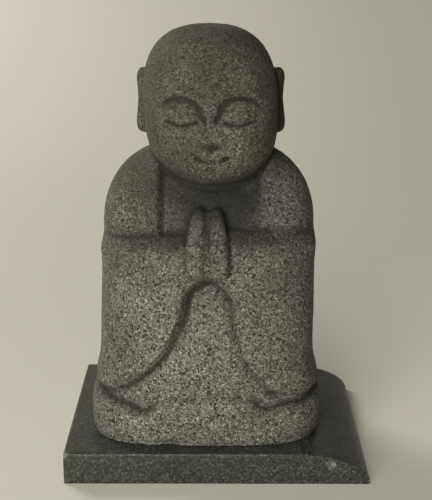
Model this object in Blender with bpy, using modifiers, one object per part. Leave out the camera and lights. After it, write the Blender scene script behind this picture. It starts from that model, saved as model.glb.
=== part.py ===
"""A small granite jizo with joined hands, standing on a slab of darker granite.

The figure is one carved stone. The slab is a second one, sawn square on three sides and
rounded down to nothing along its right-hand edge. The figure only stands on the slab.
The figure faces -Y. Sizes are in metres, and the figure is laid out in parts of its height.
"""

import math

import bmesh
import bpy
import numpy as np

# Driving sizes, in metres
FIGURE_HEIGHT = 0.249
SLAB_THICKNESS = 0.020
SLAB_FRONT_MARGIN = 0.0098
SLAB_BACK_MARGIN = 0.0136
SLAB_LEFT_MARGIN = 0.0130
SLAB_RIGHT_MARGIN = 0.0262
NOSING_REACH = 0.045
SLAB_ARRIS = 0.0008
NOSING_TOE = 0.0024
NOSING_FACETS = 14
CORNER_CHIP = 0.0042
CORNER_CHIP_SHAPE = (0.7, 0.6, 0.8)
FRONT_CHIP = 0.0030
FRONT_CHIP_SHAPE = (0.9, 0.8, 0.7)
REST_GAP = 0.0003

# The figure's layout: this many parts to its height, and the carving in those parts
PARTS = 249.0
PART = FIGURE_HEIGHT / PARTS
SKIN_GRAIN = 1.25
SKIN_TRIANGLES = 9300

# Masses as level sections: level, middle, half width, front, back, squareness.
# Each is closed by a dome at both ends: its tip, where it springs from, and its fullness
# across, in front and behind.
BODY = [
    (0.0, -1.3, 73.2, 61.0, 56.8, 3.8),
    (16.0, -1.3, 73.3, 61.0, 57.0, 3.8),
    (26.0, -1.4, 71.8, 59.0, 55.4, 3.5),
    (40.0, -1.4, 68.3, 56.8, 53.2, 3.1),
    (76.0, -0.6, 66.7, 55.4, 51.8, 2.8),
    (122.0, 0.0, 66.0, 50.8, 48.6, 2.6),
    (180.5, 0.3, 66.0, 47.0, 47.0, 2.2),
]
BODY_FOOT = (-7.0, 6.0, (3.6, 3.6, 3.6))
BODY_SHOULDERS = (180.5, 125.0, (2.4, 2.3, 2.4))
HEAD = [
    (155.2, 3.0, 41.1, 45.2, 40.6, 2.1),
    (202.0, 1.4, 41.1, 45.2, 40.6, 2.4),
    (249.0, 0.0, 41.1, 45.2, 40.6, 2.1),
]
HEAD_CHIN = (155.2, 202.0, (2.9, 5.0, 2.1))
HEAD_CROWN = (249.0, 202.0, (2.62, 2.45, 2.7))
EAR = [
    (181.6, 0.0, 5.3, 6.8, 6.4, 2.4),
    (202.0, 0.0, 4.7, 7.2, 8.8, 2.4),
    (222.4, 0.0, 5.3, 7.6, 10.8, 2.4),
]
EAR_LOBE = (181.6, 189.0, (2.3, 2.3, 2.3))
EAR_TIP = (222.4, 214.0, (2.3, 2.3, 2.3))
HAND = [
    (104.0, 6.9, 6.7, 12.4, 12.0, 2.6),
    (114.0, 7.1, 7.0, 13.6, 12.0, 2.7),
    (127.0, 6.7, 6.5, 11.4, 12.0, 2.7),
    (147.0, 5.0, 4.2, 3.0, 12.0, 2.4),
]
HAND_HEEL = (103.8, 109.5, (2.2, 2.2, 2.2))
HAND_TIP = (147.0, 140.0, (2.2, 2.2, 2.2))
BETWEEN_HANDS = [
    (104.0, 0.0, 6.0, 9.2, 12.0, 2.6),
    (114.0, 0.0, 6.0, 10.4, 12.0, 2.6),
    (127.0, 0.0, 5.6, 8.4, 12.0, 2.6),
    (145.0, 0.0, 4.4, 1.6, 12.0, 2.4),
]
BETWEEN_HANDS_TOP = (145.0, 138.0, (2.2, 2.2, 2.2))
HEAD_FORWARD = 4.0
EAR_AT = (41.0, 3.0)
HANDS_MEET_AT = -0.2
HANDS_FORWARD = 48.0

# Carved lines on the robe, seen from the front: across, level
ROBE_EDGE = [
    (-84.0, 27.4), (-57.5, 33.6), (-29.5, 54.0), (-16.4, 78.0), (-9.6, 98.4), (2.0, 103.6),
    (13.4, 95.0), (18.4, 73.0), (26.6, 49.6), (43.0, 32.8), (84.0, 27.0),
]
HEM = [
    (-84.0, 28.2), (-64.0, 27.2), (-50.0, 24.9), (-38.0, 22.4), (-30.5, 26.6), (-18.0, 28.6),
    (-4.0, 30.0), (13.5, 30.4), (25.5, 28.2), (35.0, 23.6), (46.0, 25.2), (62.0, 24.8), (84.0, 26.6),
]
SECOND_HEM_CUT = [(37.0, 32.4), (52.0, 30.0), (68.0, 27.0)]
ARM_LINE_LEFT = 130.6
ARM_LINE_RIGHT = 134.0
ARM_LINE_DROOP = 8.0
FOREARM_LEVEL = 119.0
WRIST_AT = (-17.5, 113.0)
BREAST_LEFT = -29.3
BREAST_RIGHT = 25.0
NECK_RIGHT = 36.0
LAPEL_PITS = (134.5, 142.5)
SLEEVE_BACK_EDGE = 27.0
HEM_AT_BACK = 26.0
COLLAR_LEVEL = 163.0
FOOT_CHIP_AT = (-23.0, 0.5)

# How far the robe's carving stands out or is cut in
SLEEVE_RISE = 2.6
FOREARM_RISE = 2.0
SLEEVE_SIDE_RISE = 0.9
LEFT_EDGE_CUT = 3.0
RIGHT_EDGE_CUT = 1.5
ROBE_SINK = 3.6
SKIRT_SWELL = 3.0
SKIRT_FLARE = 2.2
WRIST_RISE = 2.4
ARM_CUT = 2.6
BREAST_SINK = 3.4
NECK_SINK = 3.4
LAPEL_CUT = 1.3
HEM_CUT = 1.5
HEM_CUT_AT_ENDS = 3.3
SECOND_HEM_DEPTH = 1.5
SLEEVE_BACK_CUT = 1.2
COLLAR_CUT = 1.2
BACK_FOLDS = 0.8
FOOT_CHIP_DEPTH = 2.6

# The face, as shares of the head's height above the chin, on a child's proportions
CHIN_LEVEL = HEAD_CHIN[0]
HEAD_HEIGHT = HEAD_CROWN[0] - CHIN_LEVEL
BROW_SHARE = 0.61
EYE_SHARE = 0.44
NOSE_SHARE = 0.31
MOUTH_SHARE = 0.20
EYE_FROM_NOSE = 16.5


def clear_scene():
    for obj in list(bpy.data.objects):
        bpy.data.objects.remove(obj, do_unlink=True)


def stone(name, colour, roughness):
    material = bpy.data.materials.new(name)
    material.use_nodes = True
    shader = material.node_tree.nodes["Principled BSDF"]
    shader.inputs["Base Color"].default_value = (*colour, 1.0)
    shader.inputs["Roughness"].default_value = roughness
    shader.inputs["Metallic"].default_value = 0.0
    return material


def ramp(value, start, end):
    """0 up to start, 1 from end, and a smooth rise between them."""
    share = np.clip((value - start) / (end - start), 0.0, 1.0)
    return share * share * (3.0 - 2.0 * share)


def mound(across, up, width, height):
    """A round-topped swelling: 1 at its middle, fading over its width and height."""
    return np.exp(-((across / width) ** 2) - (up / height) ** 2)


def smooth_run(points, count):
    """A smooth run of rows through the given ones, evenly spaced along the first two columns."""
    points = np.array(points, float)
    steps = np.linalg.norm(np.diff(points[:, :2], axis=0), axis=1)
    along = np.concatenate([[0.0], np.cumsum(steps)])
    at = np.linspace(0.0, along[-1], count)
    slope = np.gradient(points, along, axis=0)
    i = np.clip(np.searchsorted(along, at, side="right") - 1, 0, len(along) - 2)
    span = (along[i + 1] - along[i])[:, None]
    t = (at - along[i])[:, None] / span
    start = (1 + 2 * t) * (1 - t) ** 2 * points[i] + t * (1 - t) ** 2 * span * slope[i]
    end = t * t * (3 - 2 * t) * points[i + 1] + t * t * (t - 1) * span * slope[i + 1]
    return start + end


def beside(line, across, up):
    """Distance from a carved line in the front view, positive on the left of its direction."""
    line = smooth_run(line, 60)
    nearest = np.full(len(across), np.inf)
    side = np.ones(len(across))
    for start, end in zip(line[:-1], line[1:]):
        step = end - start
        off_x, off_z = across - start[0], up - start[1]
        t = np.clip((off_x * step[0] + off_z * step[1]) / (step @ step), 0.0, 1.0)
        gap = np.hypot(off_x - t * step[0], off_z - t * step[1])
        closer = gap < nearest
        nearest[closer] = gap[closer]
        turn = step[0] * off_z - step[1] * off_x
        side[closer] = np.where(turn[closer] >= 0, 1.0, -1.0)
    return nearest * side


def read_points(mesh):
    flat = np.zeros(len(mesh.vertices) * 3, np.float32)
    mesh.vertices.foreach_get("co", flat)
    return flat.reshape(-1, 3).astype(float)


def read_normals(mesh):
    flat = np.zeros(len(mesh.vertices) * 3, np.float32)
    mesh.vertices.foreach_get("normal", flat)
    return flat.reshape(-1, 3).astype(float)


def write_points(mesh, points):
    mesh.vertices.foreach_set("co", points.astype(np.float32).ravel())
    mesh.update()


def dome(level, tip, springing, fullness):
    """How far a section is drawn in towards a domed end: 1 at the springing, 0 at the tip."""
    share = np.clip((level - springing) / (tip - springing), 0.0, 1.0)
    return (1.0 - share ** fullness) ** (1.0 / fullness)


def bulk(name, sections, low, high, segments, rings):
    """A ball of clay pushed out to level sections, each a rounded rectangle, domed at both ends."""
    shape = bmesh.new()
    bmesh.ops.create_uvsphere(shape, u_segments=segments, v_segments=rings, radius=1.0)
    mesh = bpy.data.meshes.new(name)
    shape.to_mesh(mesh)
    shape.free()
    x, y, z = read_points(mesh).T
    z = np.clip(z, -1.0, 1.0)
    level = low[0] + (high[0] - low[0]) * (z + 1.0) / 2.0
    rows = smooth_run(sections, 300)
    middle, half, front, back, square = (np.interp(level, rows[:, 0], size) for size in rows.T[1:])
    half, front, back = (
        size * dome(level, *low[:2], low[2][k]) * dome(level, *high[:2], high[2][k])
        for k, size in enumerate((half, front, back))
    )
    turn = np.arctan2(y, x)
    c, s = np.cos(turn), np.sin(turn)
    reach = (np.abs(c) ** square + np.abs(s) ** square) ** (-1.0 / square)
    depth = np.where(s < 0, front, back)
    write_points(mesh, np.stack([middle + c * reach * half, s * reach * depth, level], 1))
    return mesh


def push(mesh, amount, along):
    write_points(mesh, read_points(mesh) + amount[:, None] * along)


def carve_robe(mesh):
    """The sleeves, the robe between them, the arm line, the open breast and the hem."""
    x, y, z = read_points(mesh).T
    normals = read_normals(mesh)
    facing = ramp(-normals[:, 1], 0.0, 0.55)
    around = ramp(SLEEVE_BACK_EDGE - y, -1.5, 2.5)
    arm_line = ARM_LINE_LEFT + (ARM_LINE_RIGHT - ARM_LINE_LEFT) * ramp(x, -8.0, 8.0)
    arm_line -= ARM_LINE_DROOP * (x / 66.0) ** 2
    below_arm = ramp(arm_line - z, -0.8, 8.5)

    past_edge = beside(ROBE_EDGE, x, z)
    on_left = ramp(-x, -6.0, 4.0)
    sharp = ramp(past_edge, -1.2, 2.6)
    soft = ramp(past_edge, -3.4, 5.0)
    in_sleeve = sharp * on_left + soft * (1.0 - on_left)
    sleeves = SLEEVE_RISE * in_sleeve * below_arm * facing * ramp(z, 24.0, 31.0)
    forearms = FOREARM_RISE * np.exp(-(((z - FOREARM_LEVEL) / 10.0) ** 2))
    forearms *= ramp(np.abs(x), 6.0, 18.0)
    forearms += WRIST_RISE * mound(x - WRIST_AT[0], z - WRIST_AT[1], 8.0, 13.0)
    sleeves += forearms * facing * below_arm
    sleeves += SLEEVE_SIDE_RISE * around * below_arm * ramp(z, 24.0, 31.0) * (1.0 - facing)

    left_width = 1.9 + 1.2 * ramp(z, 50.0, 72.0)
    left_cut = LEFT_EDGE_CUT * np.exp(-(((past_edge + 0.9 * left_width) / left_width) ** 2))
    left_cut *= ramp(z, 26.0, 36.0)
    right_cut = RIGHT_EDGE_CUT * np.exp(-(((past_edge + 2.6) / 3.4) ** 2)) * ramp(z, 24.0, 34.0)
    cuts = (left_cut * on_left + right_cut * (1.0 - on_left)) * facing

    robe = ramp(z, 42.0, 100.0) * below_arm * (1.0 - in_sleeve) * facing
    swell = SKIRT_SWELL * mound(x - 0.5, z - 62.0, 19.0, 44.0)
    swell += SKIRT_FLARE * mound(x + 8.0, z - 42.0, 34.0, 12.0)
    between = ROBE_SINK * robe - swell * facing * (1.0 - in_sleeve)

    outside_hands = ramp(np.abs(x), 11.0, 15.0)
    far_out = ramp(np.abs(x), 24.0, 42.0)
    arm_gap = (z - arm_line - 0.9) / (1.5 + 2.4 * far_out)
    arm_cut = ARM_CUT * (1.0 - 0.4 * far_out) * np.exp(-(arm_gap ** 2))
    arm_cut *= outside_hands * ramp(-y, 2.0, 36.0)

    right_lapel = BREAST_RIGHT + (NECK_RIGHT - BREAST_RIGHT) * ramp(z, 138.0, 162.0)
    breast = ramp(x - BREAST_LEFT, -1.0, 2.2) * ramp(right_lapel - x, -3.0, 5.0)
    above_arm = ramp(z - arm_line, 0.0, 2.0) * facing
    neck_slope = NECK_SINK * ramp(z, 140.0, 160.0) * ramp(x, -34.0, 4.0)
    lapel_cut = LAPEL_CUT * np.exp(-(((x - BREAST_LEFT - 1.0) / 1.3) ** 2))
    for level in LAPEL_PITS:
        lapel_cut += 1.2 * mound(x - BREAST_LEFT - 1.0, z - level, 2.2, 2.4)
    breast_depth = ((BREAST_SINK + neck_slope) * breast + lapel_cut) * above_arm

    hem_gap = beside(HEM, x, z)
    hem_gap = np.where(y > 10.0, z - HEM_AT_BACK, hem_gap)
    at_ends = ramp(np.abs(x + 3.0), 26.0, 34.0)
    hem_depth = HEM_CUT + (HEM_CUT_AT_ENDS - HEM_CUT) * at_ends
    hem_width = 2.6 + np.where(x < 0, 0.4, -0.3) * at_ends
    hem_cut = hem_depth * np.exp(-((hem_gap / hem_width) ** 2)) * np.where(y > 10.0, 0.6, 1.0)
    second_cut = SECOND_HEM_DEPTH * np.exp(-((beside(SECOND_HEM_CUT, x, z) / 1.5) ** 2))
    hem_cut += second_cut * (y < 0)

    behind = ramp(y, SLEEVE_BACK_EDGE - 6.0, SLEEVE_BACK_EDGE + 1.0)
    back_cut = SLEEVE_BACK_CUT * np.exp(-(((y - SLEEVE_BACK_EDGE) / 2.0) ** 2)) * ramp(z, 30.0, 38.0)
    back_cut *= ramp(-z, -128.0, -112.0)
    collar = COLLAR_CUT * np.exp(-(((z - COLLAR_LEVEL) / 2.4) ** 2)) * behind
    folds = BACK_FOLDS * np.cos(x / 7.6) * ramp(y, 30.0, 44.0) * ramp(z, 28.0, 60.0)
    folds *= ramp(-z, -150.0, -118.0)

    amount = sleeves + folds - cuts - between - arm_cut - breast_depth - hem_cut - back_cut - collar
    push(mesh, amount * (z > -1.0), normals)

    x, y, z = read_points(mesh).T
    chip = mound(x - FOOT_CHIP_AT[0], z - FOOT_CHIP_AT[1], 5.5, 2.2) * facing
    push(mesh, FOOT_CHIP_DEPTH * chip, np.array([[0.0, 1.0, 0.0]]))


def carve_face(mesh):
    """A calm child's face with closed eyes. Levels are shares of the head's height."""
    x, y, z = read_points(mesh).T
    facing = ramp(-read_normals(mesh)[:, 1], 0.1, 0.5)
    brow, eye, nose, mouth = (
        CHIN_LEVEL + share * HEAD_HEIGHT
        for share in (BROW_SHARE, EYE_SHARE, NOSE_SHARE, MOUTH_SHARE)
    )
    x = x - np.interp(z, [row[0] for row in HEAD], [row[1] for row in HEAD])
    out = np.abs(x)

    brow_line = [
        (3.6, eye + 5.0), (5.2, eye + 9.5), (9.5, brow - 2.2),
        (17.0, brow), (25.0, brow - 1.8), (31.0, brow - 6.0),
    ]
    under_brow = -beside(brow_line, out, z)
    fade = ramp(-out, -35.0, -24.0)
    face = 0.8 * np.exp(-(((under_brow + 1.6) / 2.2) ** 2)) * fade
    face -= 1.9 * np.exp(-(((under_brow - 2.0) / 2.8) ** 2)) * fade

    face += 1.8 * mound(out - EYE_FROM_NOSE - 0.5, z - (eye + 3.0), 9.5, 4.4)
    lid_line = [
        (EYE_FROM_NOSE - 8.5, eye + 0.6), (EYE_FROM_NOSE, eye - 1.6), (EYE_FROM_NOSE + 9.5, eye + 0.6),
    ]
    face -= 1.8 * np.exp(-((beside(lid_line, out, z) / 1.1) ** 2))
    face += 0.6 * mound(out - EYE_FROM_NOSE, z - (eye - 4.2), 8.0, 2.2)

    down_nose = np.clip((eye + 8.0 - z) / (eye + 8.0 - nose), 0.0, 1.0)
    nose_half = 3.2 + 2.2 * down_nose
    bridge = (0.9 + 3.3 * down_nose ** 1.6) * np.exp(-((x / nose_half) ** 2))
    face += bridge * ramp(z, nose - 1.8, nose + 2.6) * ramp(-z, -eye - 14.0, -eye - 5.0)
    face += 1.7 * mound(out - 5.4, z - (nose + 2.8), 2.8, 2.8)
    face -= 0.7 * mound(x, z - (nose - 4.0), 1.8, 2.4)

    face += 1.9 * mound(x, z - mouth, 9.0, 5.0)
    mouth_line = [
        (-8.5, mouth + 1.9), (-4.2, mouth + 0.2), (0.0, mouth + 0.1), (4.2, mouth + 0.2), (8.5, mouth + 1.9),
    ]
    face -= 2.0 * np.exp(-((beside(mouth_line, x, z) / 1.1) ** 2))
    face -= 0.6 * mound(out - 9.6, z - (mouth + 2.2), 2.2, 2.2)
    face -= 1.0 * mound(x, z - (mouth - 5.6), 6.0, 1.8)
    face += 1.6 * mound(x, z - (CHIN_LEVEL + 9.0), 9.0, 4.4)
    face += 2.0 * mound(out - 22.0, z - (eye - 14.0), 11.0, 11.0)
    push(mesh, face * facing, np.array([[0.0, -1.0, 0.0]]))


def shifted(mesh, offset):
    write_points(mesh, read_points(mesh) + np.array(offset))
    return mesh


def mirrored(mesh):
    """The same mass on the other side."""
    write_points(mesh, read_points(mesh) * np.array([-1.0, 1.0, 1.0]))
    mesh.flip_normals()
    return mesh


def head():
    mesh = bulk("head", HEAD, HEAD_CHIN, HEAD_CROWN, 200, 150)
    carve_face(mesh)
    return shifted(mesh, (0.0, -HEAD_FORWARD, 0.0))


def ear():
    """A long lobe, hollowed on its outer face."""
    mesh = bulk("ear", EAR, EAR_LOBE, EAR_TIP, 40, 40)
    x, y, z = read_points(mesh).T
    rim = ((y - 1.4) / 5.0) ** 2 + ((z - 207.0) / 11.5) ** 2
    bowl = 2.4 * np.exp(-(rim ** 2)) * (x > 0)
    write_points(mesh, np.stack([x - bowl + EAR_AT[0], y + EAR_AT[1], z], 1))
    return mesh


def hand():
    """A mitten of a hand with a full heel, its fingers leaning in to meet the other's."""
    mesh = bulk("hand", HAND, HAND_HEEL, HAND_TIP, 48, 64)
    x, y, z = read_points(mesh).T
    crease = 0.5 * np.exp(-(((z - 116.8 - 0.25 * (x - 6.5)) / 1.2) ** 2))
    push(mesh, -crease, read_normals(mesh))
    return shifted(mesh, (0.0, -HANDS_FORWARD, 0.0))


def palms():
    """The stone left between the two hands, under the groove that parts them."""
    mesh = bulk("palms", BETWEEN_HANDS, HAND_HEEL, BETWEEN_HANDS_TOP, 48, 64)
    return shifted(mesh, (0.0, -HANDS_FORWARD, 0.0))


def robe():
    mesh = bulk("robe", BODY, BODY_FOOT, BODY_SHOULDERS, 288, 220)
    carve_robe(mesh)
    return mesh


def fused(meshes):
    """One skin round several overlapping masses, softened where they meet, cut flat below."""
    heap = bmesh.new()
    for mesh in meshes:
        heap.from_mesh(mesh)
        bpy.data.meshes.remove(mesh)
    together = bpy.data.meshes.new("masses")
    heap.to_mesh(together)
    heap.free()
    mass = bpy.data.objects.new("masses", together)
    bpy.context.scene.collection.objects.link(mass)
    skin = mass.modifiers.new("Skin", "REMESH")
    skin.mode = "VOXEL"
    skin.voxel_size = SKIN_GRAIN
    graph = bpy.context.evaluated_depsgraph_get()
    skinned = bpy.data.meshes.new_from_object(mass.evaluated_get(graph))
    bpy.data.objects.remove(mass)
    bpy.data.meshes.remove(together)

    shape = bmesh.new()
    shape.from_mesh(skinned)
    for _ in range(3):
        bmesh.ops.smooth_vert(
            shape, verts=shape.verts, factor=0.5, use_axis_x=True, use_axis_y=True, use_axis_z=True
        )
    everything = shape.verts[:] + shape.edges[:] + shape.faces[:]
    cut = bmesh.ops.bisect_plane(
        shape, geom=everything, plane_co=(0, 0, 0), plane_no=(0, 0, 1), clear_inner=True
    )
    rim = [edge for edge in cut["geom_cut"] if isinstance(edge, bmesh.types.BMEdge)]
    bmesh.ops.contextual_create(shape, geom=rim)
    bmesh.ops.triangulate(shape, faces=shape.faces)
    bmesh.ops.recalc_face_normals(shape, faces=shape.faces)
    shape.to_mesh(skinned)
    shape.free()
    return skinned


def figure_box():
    """The foot's middle, half width, and reach in front and behind, in metres."""
    foot = max(BODY, key=lambda row: row[2])
    return tuple(size * PART for size in foot[1:5])


def figure(collection, place):
    lean = (HEAD[1][1], 0.0, 0.0)
    meet = (HANDS_MEET_AT, 0.0, 0.0)
    ears = [shifted(ear(), lean), shifted(mirrored(ear()), lean)]
    hands = [shifted(hand(), meet), shifted(mirrored(hand()), meet), shifted(palms(), meet)]
    mesh = fused([robe(), head(), *ears, *hands])
    write_points(mesh, read_points(mesh) * PART)
    mesh.name = "jizo_figure"
    mesh.materials.append(stone("pale_granite", (0.20, 0.195, 0.165), 0.82))
    obj = bpy.data.objects.new("jizo_figure", mesh)
    obj.location = place
    collection.objects.link(obj)
    fewer = obj.modifiers.new("Facets", "DECIMATE")
    fewer.ratio = SKIN_TRIANGLES / len(mesh.polygons)
    return obj


def slab_outline(width):
    """The slab's section from the front: square on the left, a long quarter ellipse on the right."""
    half = width / 2
    edge = SLAB_ARRIS
    outline = [(-half + edge, 0.0), (half - NOSING_TOE, 0.0), (half, edge)]
    for i in range(1, NOSING_FACETS + 1):
        turn = math.pi / 2 * i / NOSING_FACETS
        outline.append((
            half - NOSING_REACH * (1.0 - math.cos(turn)),
            edge + (SLAB_THICKNESS - edge) * math.sin(turn),
        ))
    outline += [(-half + edge, SLAB_THICKNESS), (-half, SLAB_THICKNESS - edge), (-half, edge)]
    return outline


def slab(collection, width, depth):
    curve = bpy.data.curves.new("slab_section", "CURVE")
    curve.dimensions = "2D"
    curve.fill_mode = "BOTH"
    curve.extrude = depth / 2 - SLAB_ARRIS
    curve.bevel_depth = SLAB_ARRIS
    curve.bevel_resolution = 0
    curve.offset = -SLAB_ARRIS
    spline = curve.splines.new("POLY")
    points = slab_outline(width)
    spline.points.add(len(points) - 1)
    for point, (across, up) in zip(spline.points, points):
        point.co = (across, up, 0.0, 1.0)
    spline.use_cyclic_u = True
    drawn = bpy.data.objects.new("slab_section", curve)
    drawn.rotation_euler.x = math.pi / 2
    collection.objects.link(drawn)
    graph = bpy.context.evaluated_depsgraph_get()
    mesh = bpy.data.meshes.new_from_object(drawn.evaluated_get(graph))
    mesh.transform(drawn.matrix_world)
    bpy.data.objects.remove(drawn)

    shape = bmesh.new()
    shape.from_mesh(mesh)
    bmesh.ops.remove_doubles(shape, verts=shape.verts, dist=0.00001)
    bmesh.ops.recalc_face_normals(shape, faces=shape.faces)
    shape.to_mesh(mesh)
    shape.free()
    mesh.name = "granite_slab"
    mesh.materials.append(stone("dark_granite", (0.075, 0.08, 0.072), 0.6))
    obj = bpy.data.objects.new("granite_slab", mesh)
    collection.objects.link(obj)
    return obj


def chip(collection, target, name, place, radius, squash):
    """A shell-shaped flake knocked off an edge of the target."""
    shape = bmesh.new()
    bmesh.ops.create_icosphere(shape, subdivisions=2, radius=radius)
    mesh = bpy.data.meshes.new(name)
    shape.to_mesh(mesh)
    shape.free()
    mesh.transform(((squash[0], 0, 0, 0), (0, squash[1], 0, 0), (0, 0, squash[2], 0), (0, 0, 0, 1)))
    cutter = bpy.data.objects.new(name, mesh)
    cutter.location = place
    cutter.hide_render = True
    cutter.display_type = "WIRE"
    collection.objects.link(cutter)
    cut = target.modifiers.new(name, "BOOLEAN")
    cut.operation = "DIFFERENCE"
    cut.object = cutter


def main():
    clear_scene()
    made = bpy.data.collections.new("stone_jizo")
    cutters = bpy.data.collections.new("cutters")
    for collection in (made, cutters):
        bpy.context.scene.collection.children.link(collection)

    middle, half_width, front, back = figure_box()
    width = SLAB_LEFT_MARGIN + 2 * half_width + SLAB_RIGHT_MARGIN
    depth = SLAB_FRONT_MARGIN + front + back + SLAB_BACK_MARGIN
    across = -width / 2 + SLAB_LEFT_MARGIN + half_width - middle
    along = -depth / 2 + SLAB_FRONT_MARGIN + front

    figure(made, (across, along, SLAB_THICKNESS + REST_GAP))
    plinth = slab(made, width, depth)
    corner = (-width / 2 - 0.2 * CORNER_CHIP, -depth / 2, SLAB_THICKNESS + 0.1 * CORNER_CHIP)
    bruise = (width / 2 - 0.55 * NOSING_REACH, -depth / 2 - 0.45 * FRONT_CHIP, 0.8 * SLAB_THICKNESS)
    chip(cutters, plinth, "corner_chip", corner, CORNER_CHIP, CORNER_CHIP_SHAPE)
    chip(cutters, plinth, "front_chip", bruise, FRONT_CHIP, FRONT_CHIP_SHAPE)


main()
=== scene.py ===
"""The looks of a small granite jizo and the slab it stands on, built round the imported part.

Two stones and nothing else: the slab lies on the floor, and the figure stands on the slab by
its own weight. Everything is in metres, +Z up, and the figure faces -Y.
"""

import math

import bmesh
import bpy
import numpy as np
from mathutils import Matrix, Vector, noise


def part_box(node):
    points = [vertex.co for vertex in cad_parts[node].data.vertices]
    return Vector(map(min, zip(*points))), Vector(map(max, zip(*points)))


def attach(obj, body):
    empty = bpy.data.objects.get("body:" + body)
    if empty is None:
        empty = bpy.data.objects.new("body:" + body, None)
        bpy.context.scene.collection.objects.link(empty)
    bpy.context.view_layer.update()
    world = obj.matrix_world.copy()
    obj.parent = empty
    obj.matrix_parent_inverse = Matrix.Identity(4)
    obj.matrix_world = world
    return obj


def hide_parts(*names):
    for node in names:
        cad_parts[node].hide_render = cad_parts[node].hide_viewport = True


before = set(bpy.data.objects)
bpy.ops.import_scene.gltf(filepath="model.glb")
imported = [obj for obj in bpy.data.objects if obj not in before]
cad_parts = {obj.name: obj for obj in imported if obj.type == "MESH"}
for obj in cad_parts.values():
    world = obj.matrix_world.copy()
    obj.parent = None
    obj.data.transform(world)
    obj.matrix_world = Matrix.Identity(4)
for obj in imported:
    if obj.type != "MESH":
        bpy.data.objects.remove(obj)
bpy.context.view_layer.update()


# The slab
# Fine-grained dark granite, sawn from stock 20 mm thick. Three edges are left square with a
# narrow arris, and the right-hand edge is ground down in a long curve. It lies loose on the floor.
SLAB_LOW, SLAB_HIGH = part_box("granite_slab")
SLAB_THICKNESS = SLAB_HIGH.z - SLAB_LOW.z
NOSING_REACH = 0.045
NOSING_TOE = 0.0024
ARRIS = 0.0008
SHARP_FROM = math.radians(50)
SLAB_MESH_STEP = 0.0014

# What the saw left all over, and what wear has taken along the arrises
SAW_WAVE = 0.00004
SAW_WAVES_APART = 0.003
ARRIS_WEAR = 0.00035
BITES_APART = 0.0042
NICKS_APART = 0.0105

# Two flakes knocked off, one at a corner and one in front, at a share of the nosing and thickness
CORNER_CHIP = 0.0042
CORNER_CHIP_SHAPE = (0.7, 0.6, 0.8)
FRONT_CHIP = 0.0030
FRONT_CHIP_SHAPE = (0.9, 0.8, 0.7)
FRONT_CHIP_AT = (0.52, 0.66)
BRUISE = (0.34, 0.345, 0.31)
BRUISE_AT_MOST = 0.7

# Its crystals, and the finish that the saw and the wheel gave it
SLAB_GRAIN = 0.0008
SLAB_DARK = (0.007, 0.008, 0.006)
SLAB_BODY = (0.022, 0.024, 0.020)
SLAB_GREY = (0.058, 0.061, 0.054)
SLAB_PALE = (0.125, 0.128, 0.115)
SLAB_VEIL = 0.2
SLAB_ROUGHNESS = 0.41
SLAB_RELIEF = 0.0002


def ramp(value, start, end):
    """0 up to start, 1 from end, and a smooth rise between them."""
    share = np.clip((value - start) / (end - start), 0.0, 1.0)
    return share * share * (3.0 - 2.0 * share)


def read_points(mesh):
    flat = np.zeros(len(mesh.vertices) * 3, np.float32)
    mesh.vertices.foreach_get("co", flat)
    return flat.reshape(-1, 3).astype(float)


def read_normals(mesh):
    flat = np.zeros(len(mesh.vertices) * 3, np.float32)
    mesh.vertices.foreach_get("normal", flat)
    return flat.reshape(-1, 3).astype(float)


def write_points(mesh, points):
    mesh.vertices.foreach_set("co", points.astype(np.float32).ravel())
    mesh.update()


def swells(points, size, shift=0.0):
    """Smooth unevenness from about -1 to 1, with its swells about that size apart."""
    return np.array([noise.noise(Vector(point)) for point in points / size + shift])


def slab_block():
    """A box with a narrow arris, cut into small squares on every side."""
    block = bmesh.new()
    bmesh.ops.create_cube(block, size=1.0)
    size = SLAB_HIGH - SLAB_LOW
    bmesh.ops.scale(block, vec=size, verts=block.verts)
    bmesh.ops.translate(block, vec=(SLAB_HIGH + SLAB_LOW) / 2, verts=block.verts)
    bmesh.ops.bevel(
        block, geom=block.edges, affect="EDGES", offset=ARRIS, segments=3, profile=0.5, material=-1
    )
    for axis in range(3):
        long_ones = [
            edge for edge in block.edges
            if abs((edge.verts[0].co - edge.verts[1].co)[axis]) > 0.5 * size[axis]
        ]
        bmesh.ops.subdivide_edges(block, edges=long_ones, cuts=int(size[axis] / SLAB_MESH_STEP))
    return block


def ground_edge(points):
    """The right-hand side drawn down along a long quarter ellipse, to a thin toe."""
    x, y, z = points.T
    past = np.clip((x - SLAB_HIGH.x) / NOSING_REACH + 1.0, 0.0, 1.0)
    turn = (1.0 - past) * math.pi / 2
    toe = ARRIS + (SLAB_THICKNESS - ARRIS) * np.sin(turn)
    in_nosing = past > 0
    x = np.where(in_nosing, SLAB_HIGH.x - NOSING_REACH * (1.0 - np.cos(turn)), x)
    z = np.where(in_nosing, z * toe / SLAB_THICKNESS, z)
    lift = ARRIS * np.clip((x - SLAB_HIGH.x + NOSING_TOE) / NOSING_TOE, 0.0, 1.0)
    return np.stack([x, y, np.maximum(z, np.minimum(lift, ARRIS))], 1)


def worn_arris(points, normals):
    """Small bites along the arrises, always into the stone, and a trace of waviness elsewhere."""
    x, y, z = points.T
    to_side = np.minimum(x - SLAB_LOW.x, np.minimum(y - SLAB_LOW.y, SLAB_HIGH.y - y))
    from_arris = np.hypot(to_side, SLAB_HIGH.z - z)
    near = ramp(-from_arris, -2.4 * ARRIS, -0.3 * ARRIS)
    bites = np.clip(swells(points, BITES_APART, 3.0) - 0.05, 0.0, 1.0) ** 1.2
    nicks = np.clip(swells(points, NICKS_APART, 9.0) - 0.38, 0.0, 1.0)
    inward = ARRIS_WEAR * near * (1.6 * bites + 3.0 * nicks)
    above_floor = ramp(z, 0.0004, 0.002)
    inward += SAW_WAVE * (1.0 + swells(points, SAW_WAVES_APART, 5.0))
    return points - normals * (inward * above_floor)[:, None]


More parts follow.
